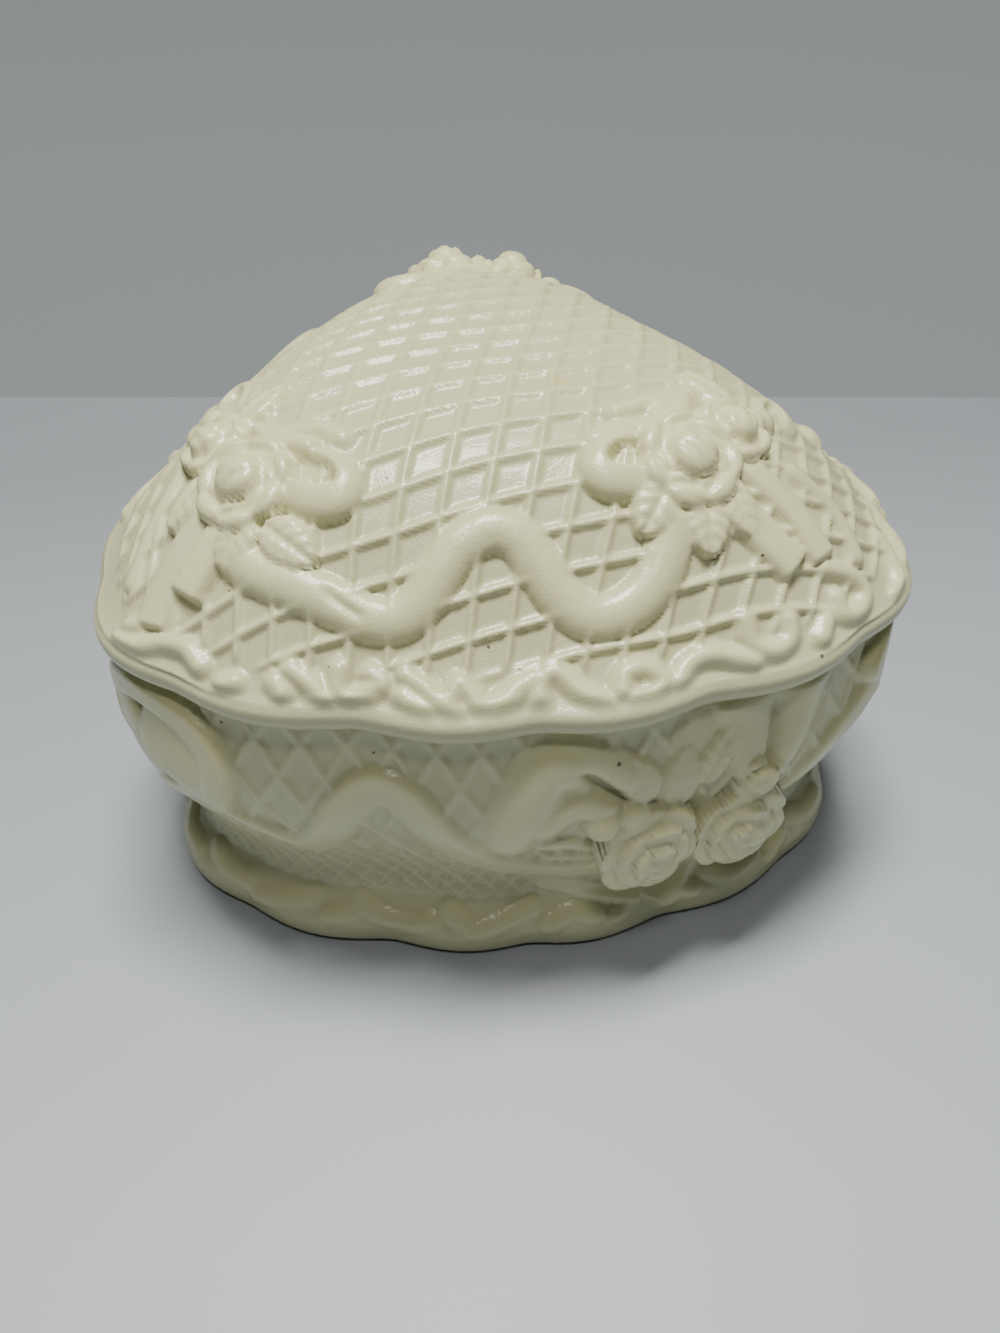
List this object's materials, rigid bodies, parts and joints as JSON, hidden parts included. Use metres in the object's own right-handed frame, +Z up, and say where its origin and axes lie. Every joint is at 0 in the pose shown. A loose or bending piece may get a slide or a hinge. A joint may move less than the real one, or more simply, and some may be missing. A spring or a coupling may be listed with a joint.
{
  "type": "lidded trinket box",
  "caption": "Three-cornered scalloped ceramic trinket box with a hollow bowl, a lift-off domed lid and trellis, ribbon and rose relief.",
  "frame": {"origin": "centre of the bounding box's footprint, on the surface the box stands on", "axes": "+Z up, -Y towards the front of the box, +Y towards the back corner"},
  "size_m": [0.1248, 0.123, 0.0796],
  "materials": {
    "glazed_ceramic": "ivory gloss glaze"
  },
  "bodies": {
    "root": {"box_base": "glazed_ceramic", "lid": "glazed_ceramic"}
  },
  "joints": []
}
